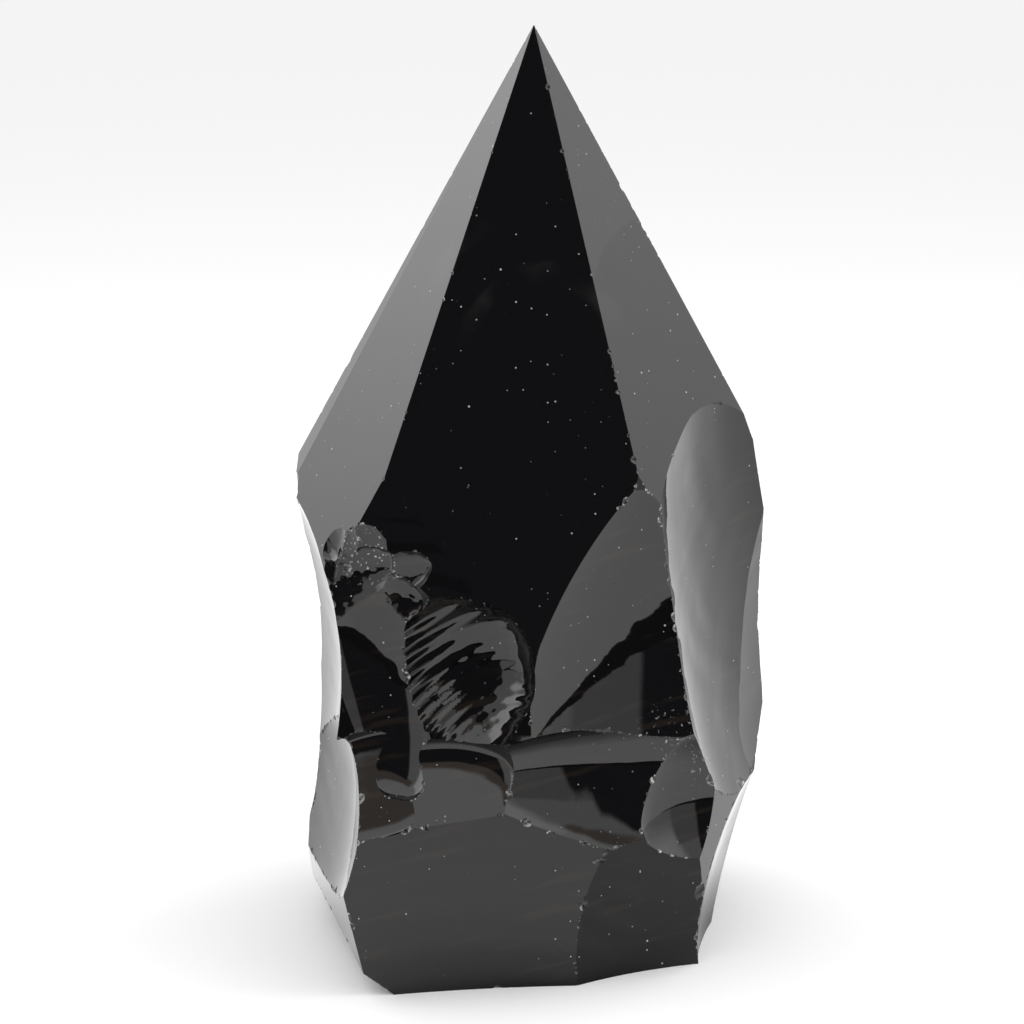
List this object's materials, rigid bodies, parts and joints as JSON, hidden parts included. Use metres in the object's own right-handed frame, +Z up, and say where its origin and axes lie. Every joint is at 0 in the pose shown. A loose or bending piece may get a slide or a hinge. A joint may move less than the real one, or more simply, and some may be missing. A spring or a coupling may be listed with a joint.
{
  "type": "polished obsidian point",
  "caption": "Free-standing point of black volcanic glass, ground to polished facets above and left as hollow struck scars below, resting on a flat base",
  "frame": {"origin": "middle of the footprint, on the resting face", "axes": "+Z up along the point, -Y towards the viewer who faces the black front facet, +X to that viewer's right"},
  "size_m": [0.0934, 0.0878, 0.18],
  "materials": {
    "black_glass": "opaque black volcanic glass, mirror polished on the upper facets, vitreous and rippled on the struck scars, greyish crushed edges"
  },
  "bodies": {
    "root": {"obsidian_point": "black_glass"}
  },
  "joints": []
}
